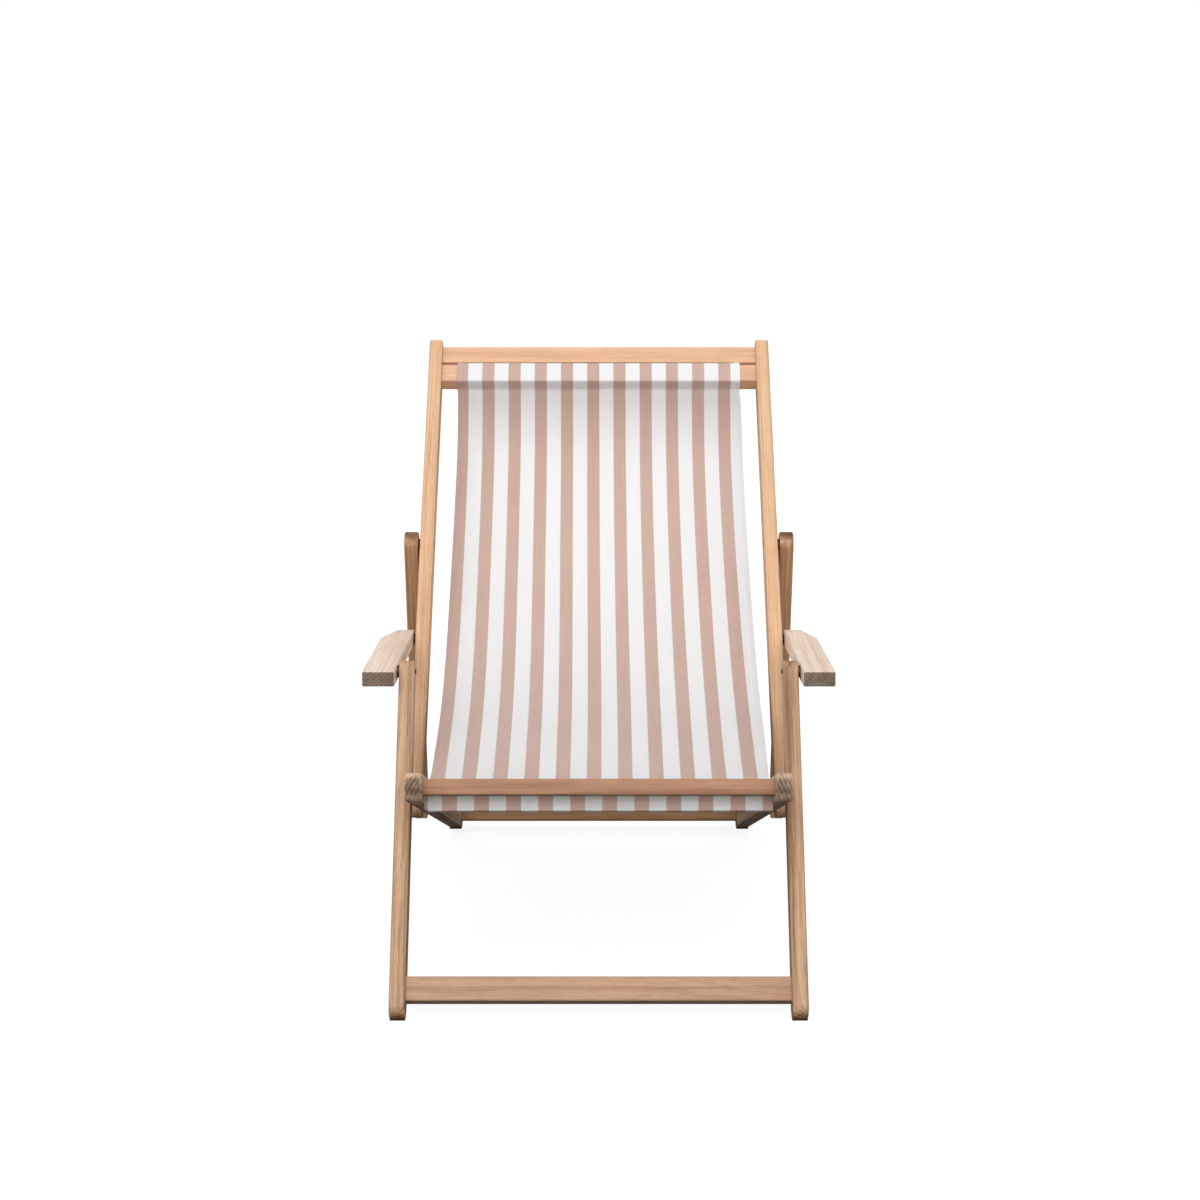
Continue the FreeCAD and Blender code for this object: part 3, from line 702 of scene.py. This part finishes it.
sling, cloth_v = cloth_mesh("canvas_sling", line, sling_x, sling_offset, sling_stripes,
                            seams=TOP_SEAMS, hem_stitch=HEM_STITCH)
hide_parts("sling", "sling_top_sleeve")
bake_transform(sling, "seat_frame", "back_frame",
         start=pivot["back_fold"] + Vector((0, -0.16, 0.09)),
         end=pivot["back_fold"] + Vector((0, 0.18, 0.17)))
# The straight blend above would stretch the slack cloth, so each point gets its own share.
shares = sling.data.attributes["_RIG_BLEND"].data
shares.foreach_set("value", fold_share(cloth_v).astype(np.float32))


SLEEVE_LEFT, SLEEVE_RIGHT = -212 * MM, 215.6 * MM
SLEEVE_PAIR, SLEEVE_CLAY = 39.7 * MM, -35.3 * MM    # stripe pair, and where one clay stripe starts


def front_sleeve():
    """Strip of canvas sewn round the front bar; its stripes don't line up with the sling's."""
    out = GAP + CLOTH / 2
    around = [front_bar.at(1, 0.2, out), front_bar.at(1, 1, out), front_bar.at(-1, 1, out),
              front_bar.at(-1, -1, out), front_bar.at(1, -1, out), front_bar.at(1, 0.0, out)]
    path = rounded(around, 2.4 * MM)[::-1]
    total = run_along(path)[-1]

    def sleeve_x(v):
        share = (columns - columns[0]) / (columns[-1] - columns[0])
        return np.tile(SLEEVE_LEFT + (SLEEVE_RIGHT - SLEEVE_LEFT) * share, (len(v), 1))

    def offset(x, v, edge):
        loose = np.sin(np.pi * np.clip(v / total, 0, 1)) ** 2
        droop = 0.7 * MM * (1 + np.sin(2 * math.pi * x / 0.19 + 0.8)) / 2
        crease = ripple(v, x, 3.0, (0.22 * MM, 120.0, 3.0), (0.16 * MM, 210.0, -7.0))
        return -loose * (droop + 0.35 * MM + crease)

    def stripes(x, v):
        return (x - SLEEVE_CLAY) / SLEEVE_PAIR + STRIPES_BEFORE

    made, _ = cloth_mesh("front_sleeve", path, sleeve_x, offset, stripes, seams=())
    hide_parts("sling_front_sleeve")
    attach(made, "seat_frame")


front_sleeve()


# ---- studio -------------------------------------------------------------------------------
SKY, FRONT, TOP = 0.56, 0.30, 0.25     # ambient radiance all round, more from the front, from above
SUN = 1.8                              # irradiance of the large light above the camera
SUN_SPREAD, SUN_TILT, SUN_SIDE = 50, 60, -6    # its width and its turn from overhead, degrees
FLOOR_GLOW, FLOOR_TONE = 0.8, 0.12     # floor as the camera sees it, and as it lights the chair
FLOOR_REACH = 30.0                     # half the side of the floor

CAMERA_FROM_HINGE = Vector((0.0016, -3.4205, 0.8718))
CAMERA_DOWN = 9.9                      # degrees below the horizontal
LENS, SENSOR = 78, 36


def pale_floor():
    floor_mesh = bpy.data.meshes.new("floor")
    corners = [(x * FLOOR_REACH, y * FLOOR_REACH, 0) for x, y in ((-1, -1), (1, -1), (1, 1), (-1, 1))]
    floor_mesh.from_pydata(corners, [], [(0, 1, 2, 3)])
    add_object("floor", floor_mesh)
    material, net = new_material("pale_floor")
    seen = net.node("LightPath").outputs["Is Camera Ray"]
    white = net.node("BsdfDiffuse", {"Color": (0.95, 0.95, 0.95, 1)})
    glow = net.node("Emission", {"Color": (1, 1, 1, 1), "Strength": 1.1})
    pale = net.node("MixShader", {0: FLOOR_GLOW, 1: white.outputs[0], 2: glow.outputs[0]})
    tone = net.node("BsdfDiffuse", {"Color": (FLOOR_TONE, FLOOR_TONE, FLOOR_TONE, 1)})
    either = net.node("MixShader", {0: seen, 1: tone.outputs[0], 2: pale.outputs[0]})
    net.node("OutputMaterial", {0: either.outputs[0]})
    floor_mesh.materials.append(material)


def soft_light():
    """White backdrop that lights the chair softly, and one large light above the camera."""
    world = bpy.data.worlds.new("studio")
    world.use_nodes = True
    bpy.context.scene.world = world
    world.node_tree.nodes.clear()
    net = Net(world.node_tree)
    seen = net.node("LightPath").outputs["Is Camera Ray"]
    _, y, z = net.node("SeparateXYZ", {0: net.node("TexCoord").outputs["Generated"]}).outputs
    front = net.math("MULTIPLY", net.math("MAXIMUM", net.math("MULTIPLY", y, -1.0), 0.0), FRONT)
    above = net.math("MULTIPLY", net.math("MAXIMUM", z, 0.0), TOP)
    ambient = net.math("ADD", net.math("ADD", front, above), SKY)
    strength = net.math("MAXIMUM", ambient, net.math("MULTIPLY", seen, 2.0))
    strength = net.math("MINIMUM", strength, 1.0)
    backdrop = net.node("Background", {"Color": (1, 1, 1, 1), "Strength": strength})
    net.node("OutputWorld", {0: backdrop.outputs[0]})

    sun = bpy.data.lights.new("overhead", "SUN")
    sun.energy = SUN
    sun.angle = math.radians(SUN_SPREAD)
    made = add_object("overhead", sun)
    made.rotation_euler = (math.radians(SUN_TILT), math.radians(SUN_SIDE), 0)


def camera():
    data = bpy.data.cameras.new("camera")
    data.sensor_width = SENSOR
    data.lens = LENS
    made = add_object("camera", data)
    made.location = pivot["back_fold"] + CAMERA_FROM_HINGE
    made.rotation_euler = (math.radians(90 - CAMERA_DOWN), 0, 0)
    bpy.context.scene.camera = made


pale_floor()
soft_light()
camera()
bpy.context.scene.view_settings.view_transform = "Standard"
